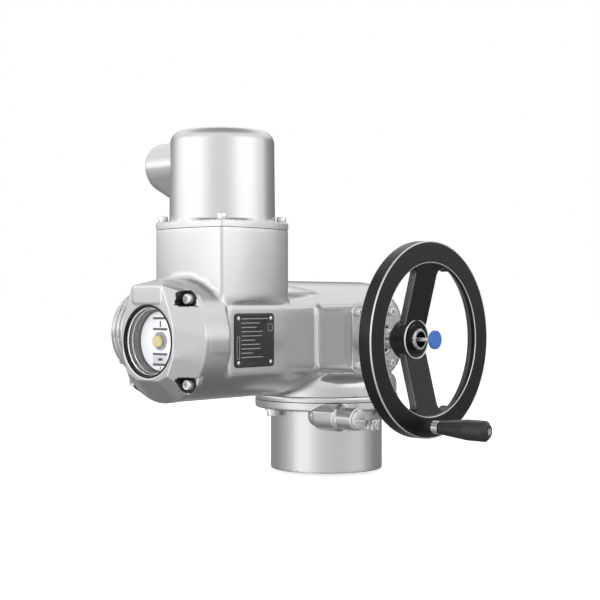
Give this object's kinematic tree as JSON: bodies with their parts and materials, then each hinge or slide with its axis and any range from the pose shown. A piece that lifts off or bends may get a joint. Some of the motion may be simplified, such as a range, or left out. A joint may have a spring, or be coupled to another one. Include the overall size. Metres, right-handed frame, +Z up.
{
  "type": "electric valve actuator",
  "caption": "Flange-mounted electric multi-turn valve actuator with side handwheel, push button, position window and round plug-in connection cover.",
  "frame": {"origin": "centre of the face that bolts to the valve", "axes": "+Z up along the output shaft, +X along the handwheel shaft towards the handwheel, -Y out of the indicator window"},
  "size_m": [0.5188, 0.3521, 0.367],
  "materials": {
    "silver_paint": "satin silver-grey powder coat on cast aluminium",
    "cast_alloy": "as cast",
    "black_rubber": "matt",
    "zinc_steel": "zinc-nickel plated",
    "bearing_steel": "ground",
    "polished_steel": "polished",
    "blackened_steel": "black oxide finish",
    "clear_glass": "clear",
    "grey_plastic": "moulded",
    "black_plastic": "fine grained",
    "white_plastic": "printed",
    "blue_plastic": "satin",
    "black_plate": "bare black plate",
    "black_coating": "black powder coat on cast aluminium",
    "brass": "turned",
    "bronze": "machined bronze",
    "copper_winding": "enamelled copper"
  },
  "bodies": {
    "housing": {"gear_housing": "silver_paint", "flange_ring": "silver_paint", "flange_gaskets": "black_rubber", "output_housing": "silver_paint", "output_screws": "zinc_steel", "upper_shaft_bearing": "bearing_steel", "lower_shaft_bearing": "bearing_steel", "stem_seal": "black_rubber", "oil_plug": "zinc_steel", "earth_clamp": "zinc_steel", "earth_screw": "zinc_steel", "switch_cover": "silver_paint", "cover_seal": "black_rubber", "cover_screws": "zinc_steel", "window_gasket": "black_rubber", "window_retainer": "polished_steel", "window_glass": "clear_glass", "control_base": "cast_alloy", "limit_switches": "grey_plastic", "torque_switches": "grey_plastic", "counter_gear_box": "grey_plastic", "indicator_bracket": "cast_alloy", "connector_seal": "black_rubber", "connector_cover": "silver_paint", "connector_screws": "zinc_steel", "socket_carrier": "grey_plastic", "contact_pins": "brass", "entry_plugs": "black_plastic", "motor_seal": "black_rubber", "motor_housing": "silver_paint", "motor_end_cap": "silver_paint", "motor_screws": "zinc_steel", "end_cap_screws": "zinc_steel", "stator_core": "bearing_steel", "stator_windings": "copper_winding", "motor_bearings": "bearing_steel", "manual_drive_cover": "silver_paint", "manual_drive_screws": "zinc_steel", "handwheel_bearing": "bearing_steel", "handwheel_seal": "black_rubber", "worm_bearings": "bearing_steel", "rating_plate": "black_plate", "plate_rivets": "zinc_steel"},
    "handwheel": {"handwheel": "black_coating", "hub_shaft": "polished_steel", "retaining_ring": "blackened_steel", "handle_spindle": "polished_steel"},
    "grip": {"handle_grip": "black_plastic"},
    "button": {"button_head": "blue_plastic", "button_pin": "polished_steel"},
    "worm_drive": {"worm_shaft": "bearing_steel", "shaft_couplings": "bearing_steel", "motor_rotor": "bearing_steel"},
    "output_drive": {"worm_wheel": "bronze", "hollow_shaft": "bearing_steel", "drive_bush": "bronze"},
    "indicator": {"indicator_disc": "white_plastic", "indicator_knob": "brass", "indicator_shaft": "bearing_steel"}
  },
  "joints": [
    {"name": "handwheel_spin", "type": "hinge", "parent": "housing", "child": "handwheel", "pos_m": [0.15, -0.04, 0.149], "axis": [1, 0, 0], "continuous": true},
    {"name": "grip_spin", "type": "hinge", "parent": "handwheel", "child": "grip", "pos_m": [0.2, -0.0365, 0.0595], "axis": [1, 0, 0], "continuous": true},
    {"name": "button_press", "type": "slide", "parent": "handwheel", "child": "button", "axis": [-1, 0, 0], "range_m": [0, 0.006], "stiffness_N_per_m": 900, "springref_m": -0.002},
    {"name": "worm_spin", "type": "hinge", "parent": "housing", "child": "worm_drive", "pos_m": [0, -0.04, 0.149], "axis": [1, 0, 0], "continuous": true},
    {"name": "output_spin", "type": "hinge", "parent": "housing", "child": "output_drive", "pos_m": [0, 0, 0.149], "axis": [0, 0, 1], "continuous": true},
    {"name": "indicator_spin", "type": "hinge", "parent": "housing", "child": "indicator", "pos_m": [0, -0.25, 0.149], "axis": [0, -1, 0], "continuous": true}
  ],
  "couplings": [
    {"joint": "worm_spin", "follows": "handwheel_spin", "ratio": 1},
    {"joint": "output_spin", "follows": "handwheel_spin", "ratio": 0.035714},
    {"joint": "indicator_spin", "follows": "handwheel_spin", "ratio": -0.0044643}
  ]
}
